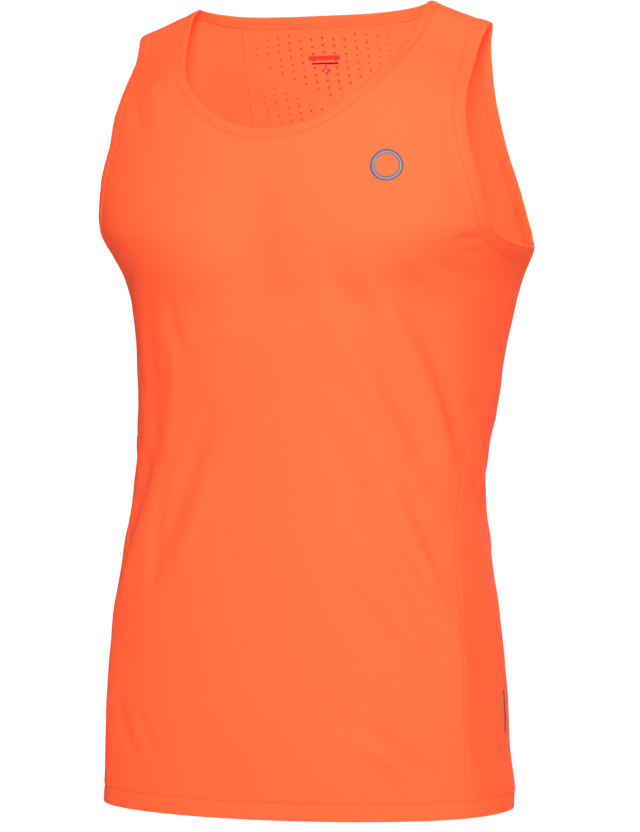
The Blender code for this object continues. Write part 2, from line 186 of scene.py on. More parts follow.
# Soft rounds and hollows of the cloth over the chest, the belly and the shoulder blades:
# round, height, half the width round, half the height, out, in millimetres
ROUNDS = np.array([
    (90, -220, 44, 32, 6.6),
    (-66, -222, 42, 32, 5.8),
    (80, -268, 80, 20, -2.4),
    (-70, -270, 70, 20, -2.2),
    (60, -440, 80, 90, 2.6),
    (-70, -715, 120, 60, -8.5),
    (70, -730, 80, 50, -6),
    (166, -585, 18, 90, 3.8),
    (214, -590, 24, 90, -4.2),
    (-166, -600, 16, 80, 2.4),
    (-212, -600, 22, 80, -2.6),
    (272, -690, 34, 16, 3.2),
    (276, -652, 30, 16, -1.6),
    (-286, -694, 34, 14, 2.2),
    (390, -170, 60, 60, 2.2),
    (-390, -172, 60, 60, 2.2),
]) / 1000
SHORT = 1e-4  # step for a slope, in rows or radians


def along(table, row):
    """The table's values at fractional rows, on a smooth curve through its rows."""
    row = np.clip(row, 0, len(table) - 3)
    first = np.minimum(np.floor(row).astype(int), len(table) - 4)
    f = (row - first)[..., None]
    a, b, c, d = (table[first + k] for k in range(4))
    return 0.5 * (2 * b + (c - a) * f + (2 * a - 5 * b + 4 * c - d) * f**2 + (3 * b - a - 3 * c + d) * f**3)


def with_ends(table, before=None):
    before = 2 * table[0] - table[1] if before is None else before
    return np.vstack([before, table, 2 * table[-1] - table[-2]])


OVER_THE_SHOULDER = np.array([1, 1, -1, -1, 1, 1, 1])  # front and back swap sides above the shoulder line
FORM_CURVE = with_ends(FORM, FORM[1] * OVER_THE_SHOULDER)
ARMHOLE_CURVE = with_ends(ARMHOLE)
FINE_ROWS = np.linspace(0, len(FORM) - 1, 2000)
FINE_HEIGHTS = along(FORM_CURVE, FINE_ROWS)[:, 0]


def row_at(height):
    return np.interp(-np.asarray(height), -FINE_HEIGHTS, FINE_ROWS)


def smooth_step(t):
    t = np.clip(t, 0.0, 1.0)
    return t * t * (3 - 2 * t)


def bare_form(angle, row):
    """The point of the form at an angle and a row, without the folds."""
    height, half_width, front, back, side_y, front_square, back_square = np.moveaxis(along(FORM_CURVE, row), -1, 0)
    across = np.sin(angle)
    ahead = np.cos(angle)
    square = np.where(ahead > 0, front_square, back_square)
    size = (np.abs(across) ** square + np.abs(ahead) ** square) ** (-1 / square)
    x = half_width * across * size
    depth = np.where(ahead > 0, side_y + front, back - side_y)
    y = side_y - depth * ahead * size
    outside_neck = np.maximum(np.abs(x) - NECK_HALF, 0.0)
    slope = SHOULDER_SLOPE * smooth_step(1 + height / SLOPE_FADES_BY)
    flick = smooth_step((np.abs(x) - 0.176) / 0.013) * np.exp(-(((height - UNDERARM_HEIGHT) / 0.018) ** 2))
    rise = HEM_RISE * smooth_step((height - HEM_RISE_FROM) / (HEM - HEM_RISE_FROM)) * across**2
    return np.stack([x, y, height - slope * outside_neck + UNDERARM_LIFT * flick + rise], axis=-1)


def round_the_form(distance):
    """A distance round the form, the short way."""
    half = np.pi * FOLD_GIRTH
    return np.remainder(distance + half, 2 * half) - half


def fold_height(angle, row):
    """How far the folds, the creases and the soft rounds move the cloth out."""
    girth = angle * FOLD_GIRTH
    height = along(FORM_CURVE, row)[..., 0]
    out = np.zeros_like(girth)
    for round_1, height_1, round_2, height_2, half_width, stands in FOLDS:
        run = np.array([round_2 - round_1, height_2 - height_1])
        length = np.hypot(*run)
        from_start = np.stack([round_the_form(girth - round_1), height - height_1], axis=-1)
        on = from_start @ run / length**2
        beside = (from_start[..., 0] * run[1] - from_start[..., 1] * run[0]) / length
        beside = beside + 0.07 * length * (on * (1 - on)) * np.sign(stands)  # a crease bows a little on its way
        taper = smooth_step((on + 0.25) / 0.5) * smooth_step((1.25 - on) / 0.5)
        out += stands * taper * np.exp(-((beside / half_width) ** 2))
    for at_round, at_height, half_round, half_height, stands in ROUNDS:
        away = (round_the_form(girth - at_round) / half_round) ** 2 + ((height - at_height) / half_height) ** 2
        out += stands * np.exp(-away)
    slack = 0.00010 + 0.00016 * np.exp(-(((height + 0.40) / 0.10) ** 2)) * np.sin(angle) ** 2
    out += slack * (np.sin(171 * girth + 83 * height + 0.7) + np.sin(-97 * girth + 149 * height + 2.1))
    return out


def slopes(surface, angle, row):
    """How a surface's point moves for each radian round, and for each row down."""
    row = np.clip(row, SHORT, len(FORM) - 1 - SHORT)
    by_angle = (surface(angle + SHORT, row) - surface(angle - SHORT, row)) / (2 * SHORT)
    by_row = (surface(angle, row + SHORT) - surface(angle, row - SHORT)) / (2 * SHORT)
    return by_angle, by_row


def normal_of(surface, angle, row):
    by_angle, by_row = slopes(surface, angle, row)
    across = np.cross(by_row, by_angle)
    return across / np.linalg.norm(across, axis=-1, keepdims=True)


def folded_form(angle, row):
    return bare_form(angle, row) + normal_of(bare_form, angle, row) * fold_height(angle, row)[..., None]


def cloth(places, out=0.0):
    """The points of the cloth's outer face at places, each an angle and a row, moved out by a distance."""
    angle, row = places[..., 0], places[..., 1]
    return folded_form(angle, row) + normal_of(folded_form, angle, row) * np.asarray(out)[..., None]


def angle_at(x, row, back):
    """The angle at which the form is x wide of the centre plane."""
    values = along(FORM_CURVE, np.asarray(row, float))
    square = values[..., 6 if back else 5]
    share = np.clip(np.abs(x) / values[..., 1], 0.0, 1.0)
    angle = np.arctan2(share, (1 - share**square) ** (1 / square))
    return np.pi - angle if back else angle


def neck_edge(turn, back):
    """The neck opening: turn goes from 0 at the shoulder line to 1 at the centre line."""
    x = NECK_HALF * np.cos(turn * np.pi / 2)
    if back:
        row = row_at(-NECK_BACK_DROP * (1 - np.cos(turn * np.pi / 2) ** 4))
    else:
        row = row_at(-NECK_FRONT_DROP * np.sin(turn * np.pi / 2))
    return np.stack([angle_at(x, row, back), row], axis=-1)


def armhole_edge(turn, back):
    """The armhole: turn goes from 0 at the shoulder line to 1 under the arm."""
    height, front_angle, back_angle = along(ARMHOLE_CURVE, turn * (len(ARMHOLE) - 1)).T
    return np.stack([np.radians(back_angle if back else front_angle), row_at(height)], axis=-1)


OPENING_MIDDLE = {neck_edge: np.array([0.0, -0.05, 0.0]), armhole_edge: np.array([0.20, 0.0, -0.11])}


def inset(edge, turn, back, distance):
    """Places on the cloth at a distance from an opening's edge."""
    middle = np.clip(turn, 2 * SHORT, 1 - 2 * SHORT)
    at = edge(turn, back)
    by_angle, by_row = slopes(bare_form, at[:, 0], at[:, 1])
    way = edge(middle + SHORT, back) - edge(middle - SHORT, back)
    along_edge = by_angle * way[:, :1] + by_row * way[:, 1:]
    across = np.cross(np.cross(by_row, by_angle), along_edge)
    outwards = (across * (bare_form(at[:, 0], at[:, 1]) - OPENING_MIDDLE[edge])).sum(-1, keepdims=True)
    across *= np.sign(outwards) / np.linalg.norm(across, axis=-1, keepdims=True)
    basis = np.stack([by_angle, by_row], axis=-1)
    step = np.linalg.solve(np.swapaxes(basis, 1, 2) @ basis, np.swapaxes(basis, 1, 2) @ across[..., None])[..., 0]
    long_round = np.linalg.norm(by_angle, axis=-1)
    long_down = np.linalg.norm(by_row, axis=-1)
    along_shoulder = np.stack([np.sign(step[:, 0]) / long_round, 0 * turn], axis=-1)
    straight_down = np.stack([0 * turn, 1 / long_down], axis=-1)
    step = np.where(turn[:, None] < 0.001, along_shoulder, step)
    step = np.where(turn[:, None] > 0.999, straight_down, step)
    return at + step * distance


def beside(points, distance):
    """The places of a seam, moved round the form by a distance."""
    by_angle, _ = slopes(bare_form, points[:, 0], points[:, 1])
    moved = points.copy()
    moved[:, 0] += distance / np.linalg.norm(by_angle, axis=-1)
    return moved


def crowded_ends(count, first=True, last=True):
    """Even shares from 0 to 1, with more beside the edges that are sewn."""
    even = np.linspace(0, 1, count + 1)
    near = np.array([0.05, 0.14, 0.3, 0.55]) / count
    return np.unique(np.concatenate([even, near if first else [], 1 - near if last else []]))


def between(left, right, shares):
    """A grid of places, from those of one edge to those of another."""
    share = shares[None, :, None]
    return left[:, None] * (1 - share) + right[:, None] * share


def mirrored(grid):
    return grid * np.array([-1.0, 1.0])


CORNER_TURN = 0.80  # share of the way down the armhole at which it turns under the arm
BELOW_CORNER = -0.205
UPPER_ROWS = 56
NECK_ROWS = 38
LOWER_ROWS = 104
CORNER_SHARES = np.linspace(0, 1, 15)
HEM_LINES = np.array([17.5, 16.2, 15.3, 14.5, 13.7, 12.8, 11.6, 9, 6, 3, 1.4, 0.7, 0.3, 0.1, 0]) / 1000


def turns(first, last, count):
    """Where the rows meet an opening, closer together beside the shoulder line, where the cloth turns over."""
    return np.concatenate([[first, 0.004, 0.010], np.linspace(first, last, count)[1:]])


def down(first):
    """Heights of the rows from a first one to the hem's edge."""
    return np.concatenate([np.linspace(first, HEM + HEM_LINES[0], LOWER_ROWS)[1:], HEM + HEM_LINES[1:]])


def seam_at(table, heights):
    """A seam's second column at heights, on a smooth curve through its table."""
    seam = along(with_ends(table), np.linspace(0, len(table) - 1, 200))
    return np.interp(-heights, -seam[:, 0], seam[:, 1])


def side_seam(heights):
    return np.stack([np.radians(seam_at(SIDE_SEAM, heights)), row_at(heights)], axis=-1)


def height_of(place):
    return float(along(FORM_CURVE, place[1])[0])


ARMHOLE_TURNS = turns(0.0, CORNER_TURN, UPPER_ROWS)
CORNER_TURNS = CORNER_TURN + (1 - CORNER_TURN) * CORNER_SHARES
NECK_TURNS = turns(0.0, 1.0, NECK_ROWS)


def centre_heights(first, rows):
    """Heights on a centre line or a back seam, from the neck band down."""
    return np.concatenate([np.linspace(first, BELOW_CORNER, rows + 1)[1:], down(BELOW_CORNER)])


def panel(inner_edge, back, seam_gap, shares):
    """A panel's grids above and below the armhole's corner, from its inner edge to the armhole and the side seam."""
    armhole = inset(armhole_edge, ARMHOLE_TURNS, back, ARMHOLE_BAND)
    under_arm = inset(armhole_edge, CORNER_TURNS, back, ARMHOLE_BAND)
    heights = down(height_of(under_arm[-1]))
    side = side_seam(heights)
    upper = between(inner_edge[: len(armhole)], armhole, shares)
    top = np.vstack([upper[-1], under_arm[1:]])
    top[-1:] = beside(top[-1:], seam_gap)
    way = np.append(0, np.cumsum(np.hypot(*np.diff(top, axis=0).T)))
    columns = way / way[-1]
    columns[-5:-1] = 1 - np.array([0.025, 0.012, 0.006, 0.002])
    top[-5:-1] = top[-6] + (top[-1] - top[-6]) * ((columns[-5:-1] - columns[-6]) / (1 - columns[-6]))[:, None]
    lower = between(inner_edge[len(armhole) :], beside(side, seam_gap), columns)
    straight_top = between(top[:1], top[-1:], columns)[0]
    fade = np.clip((heights - HEM - HEM_DEPTH) / (heights[0] - HEM - HEM_DEPTH), 0, 1)[:, None, None]
    lower = lower + (top - straight_top) * fade
    return [off_the_ridge(upper), np.concatenate([top[None], lower])]


def off_the_ridge(grid):
    """The grid with its first row moved over the shoulder line by half a lap."""
    grid = grid.copy()
    _, by_row = slopes(bare_form, grid[0, :, 0], grid[0, :, 1])
    grid[0, :, 1] -= LAP / 2 / np.linalg.norm(by_row, axis=-1)
    return grid


def steps_from(points, axis, end):
    """Distance of each point from one end of its line, along that line."""
    steps = np.linalg.norm(np.diff(points, axis=axis), axis=-1)
    zero = np.zeros_like(np.take(steps, [0], axis=axis))
    way = np.concatenate([zero, np.cumsum(steps, axis=axis)], axis=axis)
    return way if end == "first" else np.take(way, [-1], axis=axis) - way


def hem_waver(angle, height):
    """How far the hem's band waves in and out, at a height over the hem's edge."""
    waver = np.sin(angle * 31 + 1.0) + np.sin(angle * 19 + 2 * np.sin(angle * 7))
    return 0.00022 * waver * np.exp(-(((height - 0.006) / 0.006) ** 2))


def sewn(grid, edges):
    """How far the cloth sinks and puckers beside its seams, for each place of a grid. Edges are (axis, end)."""
    points = folded_form(grid[..., 0], grid[..., 1])
    out = np.zeros(grid.shape[:2])
    for axis, end in edges:
        away = steps_from(points, axis, end)
        run = steps_from(points, 1 - axis, "first")
        pucker = np.sin(run * 640 + 1.8 * np.sin(run * 91)) + 0.7 * np.sin(run * 410 + 2.3 * np.sin(run * 57) + 1.0)
        out -= 0.00045 * np.exp(-((away / 0.0011) ** 2))
        out += 0.00011 * pucker * np.exp(-away / 0.006) * (1 - np.exp(-away / 0.0015))
    height = along(FORM_CURVE, grid[..., 1])[..., 0] - HEM
    out -= 0.00075 * np.exp(-(((height - HEM_DEPTH) / 0.0011) ** 2))
    out += 0.00035 * np.exp(-(((height - HEM_DEPTH - 0.0045) / 0.0026) ** 2))
    out += hem_waver(grid[..., 0], height)
    fold = np.clip(1 - height / 0.0012, 0, 1)
    return out - 0.0011 * (1 - np.sqrt(np.clip(1 - fold**2, 0, 1)))


def object_of(name, data):
    """A new object in the scene, of a mesh, a lamp or a camera."""
    obj = bpy.data.objects.new(name, data)
    bpy.context.scene.collection.objects.link(obj)
    return obj


def lay_lengths(mesh, lengths):
    """Gives each vertex its distances round and down the cloth, as a UV map that the knit follows."""
    corners = np.zeros(len(mesh.loops), int)
    mesh.loops.foreach_get("vertex_index", corners)
    mesh.uv_layers.new(name="knit_lengths").data.foreach_set("uv", lengths[corners].ravel())


def cloth_wall(name, grids, thickness, material):
    """A closed wall of cloth through grids of (places, out). Grids that share points are one piece of cloth."""
    outer, inner, flat, faces, index_of = [], [], [], [], {}
    for places, out in grids:
        top = cloth(places, out)
        under = cloth(places, out - thickness)
        numbers = np.zeros(places.shape[:2], int)
        for at in np.ndindex(*places.shape[:2]):
            key = tuple(np.round(top[at], 5))
            if key not in index_of:
                index_of[key] = len(outer)
                outer.append(top[at])
                inner.append(under[at])
                flat.append(places[at])
            numbers[at] = index_of[key]
        facing = normal_of(bare_form, places[:-1, :-1, 0], places[:-1, :-1, 1])
        turned = (np.cross(top[1:, :-1] - top[:-1, 1:], top[1:, 1:] - top[:-1, :-1]) * facing).sum(-1) > 0
        for i, j in np.ndindex(*turned.shape):
            quad = (numbers[i, j], numbers[i + 1, j], numbers[i + 1, j + 1], numbers[i, j + 1])
            if len(set(quad)) == 4:
                faces.append(quad if turned[i, j] else quad[::-1])
    count = len(outer)
    edges = {(quad[k], quad[(k + 1) % 4]) for quad in faces for k in range(4)}
    rim = [(b, a, a + count, b + count) for a, b in edges if (b, a) not in edges]
    under_faces = [tuple(n + count for n in reversed(quad)) for quad in faces]
    mesh = bpy.data.meshes.new(name)
    mesh.from_pydata(outer + inner, [], faces + under_faces + sorted(rim))
    flat = np.array(flat)
    lengths = np.stack([flat[:, 0] * FOLD_GIRTH, along(FORM_CURVE, flat[:, 1])[:, 0]], axis=-1)
    lengths = np.vstack([lengths, lengths])
    lay_lengths(mesh, lengths)
    mesh.materials.append(material)
    mesh.shade_smooth()
    mesh.set_sharp_from_angle(angle=math.radians(50))
    mesh.update()
    return object_of(name, mesh)


def both_sides(grids):
    return grids + [(mirrored(places), out) for places, out in grids]


def group_with(name, kind, inputs, outputs):
    """A node group with its input and output nodes. Each socket's name gives its kind, and its value or None."""
    group = bpy.data.node_groups.new(name, kind)
    for in_out, sockets in (("INPUT", inputs), ("OUTPUT", outputs)):
        for label, (socket_kind, value) in sockets.items():
            made = group.interface.new_socket(label, in_out=in_out, socket_type="NodeSocket" + socket_kind)
            if value is not None:
                made.default_value = value
    return group, group.nodes.new("NodeGroupInput"), group.nodes.new("NodeGroupOutput")


def feed(made, inputs):
    """Links or sets a node's inputs, by name or number."""
    for key, value in inputs.items():
        if isinstance(value, bpy.types.NodeSocket):
            made.id_data.links.new(value, made.inputs[key])
        else:
            made.inputs[key].default_value = value


def node(tree, kind, **settings):
    """A node with its settings and inputs."""
    inputs = settings.pop("inputs", {})
    made = tree.nodes.new(kind)
    for key, value in settings.items():
        setattr(made, key, value)
    feed(made, inputs)
    return made


def sums(tree, operation, *values):
    return node(tree, "ShaderNodeMath", operation=operation, inputs=dict(enumerate(values))).outputs[0]


def object_place(tree):
    return node(tree, "ShaderNodeTexCoord").outputs["Object"]


# The knit's face, for every orange piece: columns of small V-shaped loops, and a faint unevenness of the yarn.
WALE_WIDTH = 0.0009  # one column of loops
COURSE_HEIGHT = 0.0007  # one row of loops
knit_face, given, shown = group_with(
    "knit_face", "ShaderNodeTree",
    {"Lengths": ("Vector", None), "Wale Width": ("Float", WALE_WIDTH), "Course Height": ("Float", COURSE_HEIGHT)},
    {"Loops": ("Float", None), "Yarn": ("Float", None)})
parts = node(knit_face, "ShaderNodeSeparateXYZ", inputs={0: given.outputs["Lengths"]})
wale = sums(knit_face, "DIVIDE", parts.outputs[0], given.outputs["Wale Width"])
course = sums(knit_face, "DIVIDE", parts.outputs[1], given.outputs["Course Height"])
leg = sums(knit_face, "PINGPONG", wale, 0.5)
slant = sums(knit_face, "ADD", course, leg)
rung = sums(knit_face, "PINGPONG", slant, 0.5)
column = sums(knit_face, "SINE", sums(knit_face, "MULTIPLY", leg, 2 * math.pi))
loops = sums(knit_face, "MULTIPLY", sums(knit_face, "ABSOLUTE", column), sums(knit_face, "ADD", rung, 0.35))
place = object_place(knit_face)
yarn = node(knit_face, "ShaderNodeTexNoise", inputs={"Vector": place, "Scale": 700.0, "Detail": 2.0, "Roughness": 0.5})
feed(shown, {"Loops": loops, "Yarn": yarn.outputs["Fac"]})


def new_material(name):
    material = bpy.data.materials.new(name)
    material.use_nodes = True
    return material, material.node_tree, material.node_tree.nodes["Principled BSDF"]


def knit_material(name, light, deep, roughness, depth):
    """Bright orange polyester: two near shades by the yarn, a shallow loop relief, a soft sheen and a faint orange
    glow, which is painted light.
    """
    material, tree, shader = new_material(name)
    lengths = node(tree, "ShaderNodeUVMap", uv_map="knit_lengths").outputs[0]
    face = node(tree, "ShaderNodeGroup", node_tree=knit_face, inputs={
        "Lengths": lengths, "Wale Width": WALE_WIDTH, "Course Height": COURSE_HEIGHT})
    tint = node(tree, "ShaderNodeMapRange", inputs={0: face.outputs["Yarn"], 1: 0.3, 2: 0.7, 3: 0.0, 4: 1.0})
    colour = node(tree, "ShaderNodeMix", data_type="RGBA", inputs={0: tint.outputs[0], 6: (*light, 1), 7: (*deep, 1)})
    rough = node(tree, "ShaderNodeMapRange", inputs={
        0: face.outputs["Loops"], 1: 0.0, 2: 1.0, 3: roughness + 0.10, 4: roughness - 0.05})
    bump = node(tree, "ShaderNodeBump", inputs={
        "Strength": 0.5, "Distance": depth, "Height": face.outputs["Loops"]})
    feed(shader, {"Base Color": colour.outputs[2], "Roughness": rough.outputs[0], "Normal": bump.outputs[0]})
    shader.inputs["Specular IOR Level"].default_value = 0.12
    shader.inputs["Sheen Weight"].default_value = 0.015
    shader.inputs["Sheen Roughness"].default_value = 0.4
    shader.inputs["Sheen Tint"].default_value = (1.0, 0.72, 0.55, 1.0)
    shader.inputs["Emission Color"].default_value = (1.0, 0.060, 0.020, 1.0)  # painted light: a faint orange glow that keeps the cloth's shaded parts bright orange
    shader.inputs["Emission Strength"].default_value = 0.16
    return material


knit = knit_material("orange_knit", (1.0, 0.104, 0.031), (1.0, 0.098, 0.029), 0.75, 0.00012)

neck_front = inset(neck_edge, NECK_TURNS, False, NECK_BAND)
front_heights = centre_heights(height_of(neck_front[-1]), UPPER_ROWS - NECK_ROWS)
front_centre = np.stack([np.zeros(len(front_heights)), row_at(front_heights)], axis=-1)
front_upper, front_lower = panel(np.vstack([neck_front, front_centre]), False, LAP / 2, crowded_ends(40))
front_out = sewn(front_upper, [(1, "last"), (0, "first")])
to_centre = smooth_step((len(NECK_TURNS) - np.arange(len(front_upper))) / 4)[:, None]
front_out += (sewn(front_upper, [(1, "first")]) - sewn(front_upper, [])) * to_centre
front_lower_out = sewn(front_lower, [(1, "last")])
front_lower_out[0, : front_upper.shape[1]] = front_out[-1]
front_grids = [(front_upper, front_out), (front_lower, front_lower_out)]
front_panel = cloth_wall("front_cloth", both_sides(front_grids), CLOTH, knit)
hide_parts("front_panel")
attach(front_panel, "root")

# ---- Back panels ----
# The back is cut in three: a side panel from each armhole and side seam to a long seam, and a centre panel between
# those seams. All three are the front's knit, sewn flat.

BACK_SEAM = np.array([
    (-0.012, 0.073), (-0.120, 0.078), (-0.300, 0.086), (-0.430, 0.080), (-0.580, 0.092), (-0.711, 0.096),
])  # height, distance from the centre line
SEAM_TURN = 0.53  # where the long seam meets the neck


def back_seam(heights):
    rows = row_at(heights)
    return np.stack([angle_at(seam_at(BACK_SEAM, heights), rows, True), rows], axis=-1)


CORNER_TURNS_BACK = np.concatenate([[0.0, 0.004, 0.010], np.linspace(0, SEAM_TURN, 15)[1:]])
neck_corner = inset(neck_edge, CORNER_TURNS_BACK, True, NECK_BAND)
seam_heights = centre_heights(height_of(neck_corner[-1]), len(ARMHOLE_TURNS) - len(CORNER_TURNS_BACK))
seam_line = np.vstack([neck_corner[-1:], back_seam(seam_heights)])
back_upper, back_lower = panel(
    np.vstack([neck_corner[:-1], beside(seam_line, LAP / 2)]), True, -LAP / 2, crowded_ends(28))
back_out = sewn(back_upper, [(1, "last"), (1, "first"), (0, "first")])
back_lower_out = sewn(back_lower, [(1, "last"), (1, "first")])
back_lower_out[0, : back_upper.shape[1]] = back_out[-1]
back_grids = [(back_upper, back_out), (back_lower, back_lower_out)]
back_left = cloth_wall("back_cloth_left", back_grids, CLOTH, knit)
back_right = cloth_wall("back_cloth_right", [(mirrored(grid), out) for grid, out in back_grids], CLOTH, knit)
for back_side, replaced in ((back_left, "back_panel_left"), (back_right, "back_panel_right")):
    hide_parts(replaced)
    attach(back_side, "root")

# The centre panel, with laser-cut perforations: bands of holes that rise outwards from the centre line like a V.
# Each hole holds a thin dark orange disc, painted shade for the shadowed inside of the hole.

centre_shares = crowded_ends(20, last=False)
centre_line = np.stack([np.full(len(seam_line), np.pi), seam_line[:, 1]], axis=-1)
back_centre = between(beside(seam_line, -LAP / 2), centre_line, centre_shares)
centre_turns = SEAM_TURN + (1 - SEAM_TURN) * centre_shares
back_centre[0, 1:] = inset(neck_edge, centre_turns, True, NECK_BAND)[1:]
settle = np.linspace(1, 0, 8)[:, None, None]
flat_top = between(back_centre[:1, 0], back_centre[:1, -1], centre_shares)
back_centre[1:9] += (back_centre[:1] - flat_top) * settle
centre_out = sewn(back_centre, [(1, "first"), (0, "first")])
back_middle = cloth_wall("back_cloth_centre", both_sides([(back_centre, centre_out)]), CLOTH, knit)

HOLE_COLUMNS = 6  # on each side of the centre line
COLUMN_PITCH = 0.0105
HOLE_PITCH = 0.0061
HOLES_IN_BAND = 9
BAND_PITCH = 0.066
FIRST_HOLE = -0.027
RISE_PER_COLUMN = 0.0049
HOLE_RADIUS = 0.0014

hole_places, hole_sizes = [], []
for column in range(-HOLE_COLUMNS, HOLE_COLUMNS + 1):
    for band in range(11):
        for hole in range(HOLES_IN_BAND):
            height = FIRST_HOLE - band * BAND_PITCH - hole * HOLE_PITCH + abs(column) * RISE_PER_COLUMN
            if not HEM + HEM_DEPTH + 0.006 < height < -0.024:
                continue
            row = row_at(height)
            turn = angle_at(abs(column) * COLUMN_PITCH, row, True)
            hole_places.append((turn if column >= 0 else -turn, row))
            hole_sizes.append(HOLE_RADIUS * (1 - 0.070 * abs(column)) * (1 + 0.10 * math.sin(7 * column + 3 * hole)))
hole_places = np.array(hole_places)
hole_points = cloth(hole_places, -CLOTH / 2)
hole_normals = normal_of(folded_form, hole_places[:, 0], hole_places[:, 1])


def set_inputs(modifier, **values):
    """Sets a node modifier's inputs, by the names that its tree gives them."""
    for item in modifier.node_group.interface.items_tree:
        if item.item_type == "SOCKET" and item.in_out == "INPUT" and item.name.replace(" ", "_") in values:
            modifier[item.identifier] = values[item.name.replace(" ", "_")]


def made_plain(obj, name=None):
    """The object with its modifier's result as its own plain mesh."""
    graph = bpy.context.evaluated_depsgraph_get()
    graph.update()
    mesh = bpy.data.meshes.new_from_object(obj.evaluated_get(graph), preserve_all_data_layers=True, depsgraph=graph)
    obj.modifiers.clear()
    obj.data = mesh
    obj.name = mesh.name = name or obj.name
    return obj


def pegs(tree, points, sides, depth, scale):
    """Round pegs on points, each along its point's normal, as one real mesh."""
    peg = node(tree, "GeometryNodeMeshCylinder", inputs={"Vertices": sides, "Radius": 1.0, "Depth": depth})
    normal = node(tree, "GeometryNodeInputNamedAttribute", data_type="FLOAT_VECTOR", inputs={"Name": "facing"})
    size = node(tree, "GeometryNodeInputNamedAttribute", data_type="FLOAT", inputs={"Name": "hole_size"})
    turn = node(tree, "FunctionNodeAlignRotationToVector", axis="Z", inputs={"Vector": normal.outputs[0]})
    wide = node(tree, "ShaderNodeMath", operation="MULTIPLY", inputs={0: size.outputs[0], 1: scale})
    scales = node(tree, "ShaderNodeCombineXYZ", inputs={0: wide.outputs[0], 1: wide.outputs[0], 2: 1.0})
    placed = node(tree, "GeometryNodeInstanceOnPoints", inputs={
        "Points": points, "Instance": peg.outputs["Mesh"], "Rotation": turn.outputs[0], "Scale": scales.outputs[0]})
    return node(tree, "GeometryNodeRealizeInstances", inputs={"Geometry": placed.outputs[0]}).outputs[0]


GEOMETRY = {"Geometry": ("Geometry", None)}
punch, punch_in, punch_out = group_with("punched_cloth", "GeometryNodeTree", {
    **GEOMETRY, "Hole Points": ("Object", None), "Punch Depth": ("Float", 0.004), "Cloth": ("Material", None),
}, GEOMETRY)
holes_in = node(punch, "GeometryNodeObjectInfo", inputs={"Object": punch_in.outputs["Hole Points"]})
cutters = pegs(punch, holes_in.outputs["Geometry"], 10, punch_in.outputs["Punch Depth"], 1.0)
cut = node(punch, "GeometryNodeMeshBoolean", operation="DIFFERENCE", solver="MANIFOLD")
feed(cut, {"Mesh 1": punch_in.outputs["Geometry"], "Mesh 2": cutters})
whole = node(punch, "GeometryNodeRealizeInstances", inputs={"Geometry": cut.outputs["Mesh"]})
finished = node(punch, "GeometryNodeSetMaterial", inputs={
    "Geometry": whole.outputs[0], "Material": punch_in.outputs["Cloth"]})
feed(punch_out, {0: finished.outputs[0]})

hole_mesh = bpy.data.meshes.new("hole_points")
hole_mesh.from_pydata(hole_points.tolist(), [], [])
hole_mesh.attributes.new("facing", "FLOAT_VECTOR", "POINT").data.foreach_set("vector", hole_normals.ravel())
hole_mesh.attributes.new("hole_size", "FLOAT", "POINT").data.foreach_set("value", hole_sizes)
hole_cloud = object_of("hole_points", hole_mesh)
punching = back_middle.modifiers.new("punched", "NODES")
punching.node_group = punch
set_inputs(punching, Hole_Points=hole_cloud, Punch_Depth=0.004, Cloth=knit)
made_plain(back_middle)
back_middle.data.shade_smooth()
back_middle.data.set_sharp_from_angle(angle=math.radians(40))
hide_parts("back_panel_centre")
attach(back_middle, "root")

# Painted shade: a thin dark orange disc sits mid-way in each hole, in place of the shadow inside it.
hole_shade = knit_material("hole_net", (0.80, 0.028, 0.010), (0.70, 0.022, 0.008), 0.9, 0.0001)
shade_discs, shade_discs_in, shade_discs_out = group_with("hole_net", "GeometryNodeTree", {
    **GEOMETRY, "Net Thickness": ("Float", 0.00022), "Net": ("Material", None)}, GEOMETRY)
filled = pegs(shade_discs, shade_discs_in.outputs["Geometry"], 8, shade_discs_in.outputs["Net Thickness"], 0.98)
coloured = node(shade_discs, "GeometryNodeSetMaterial", inputs={"Geometry": filled, "Material": shade_discs_in.outputs["Net"]})
feed(shade_discs_out, {0: coloured.outputs[0]})
filling = hole_cloud.modifiers.new("filled", "NODES")
filling.node_group = shade_discs
set_inputs(filling, Net_Thickness=0.00022, Net=hole_shade)
hole_net = made_plain(hole_cloud, "perforation_net")
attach(hole_net, "root")

# ---- Hem ----
# The lowest 14.5 mm of the cloth, turned up inside and held by one stitched line that draws the outside in.

HEM_INSIDE = 0.0004  # between the panels' inner face and the turned-up cloth
hem_rows = HEM + np.array([0.0002, 0.0006, 0.0012, 0.0030, 0.0060, 0.0090, 0.0116, 0.0132, HEM_DEPTH])
hem_front = front_lower[-1, :, 0]
hem_angles = np.concatenate([hem_front, back_lower[-1, -2::-1, 0], back_centre[-1, 1:, 0]])
hem_places = np.stack(np.broadcast_arrays(hem_angles[None, :], row_at(hem_rows)[:, None]), axis=-1).copy()
hem_height = (hem_rows - HEM)[:, None]
hem_out = hem_waver(hem_places[..., 0], hem_height) - CLOTH - HEM_INSIDE
hem_out = hem_out - 0.00055 * np.exp(-(((hem_height - HEM_DEPTH) / 0.0011) ** 2))
hem_cloth = cloth_wall("hem_cloth", both_sides([(hem_places, hem_out)]), 0.0006, knit)
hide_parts("hem_turn_up")
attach(hem_cloth, "root")

# ---- Neck and armhole bindings ----
# Strips of the same knit folded over the raw edges: flat outside, rounded at the opening and sewn through close to
# their inner edge, where the stitching presses a narrow ridge between two grooves.

UNDER_BINDING = 0.0006  # how far a panel reaches in under its binding

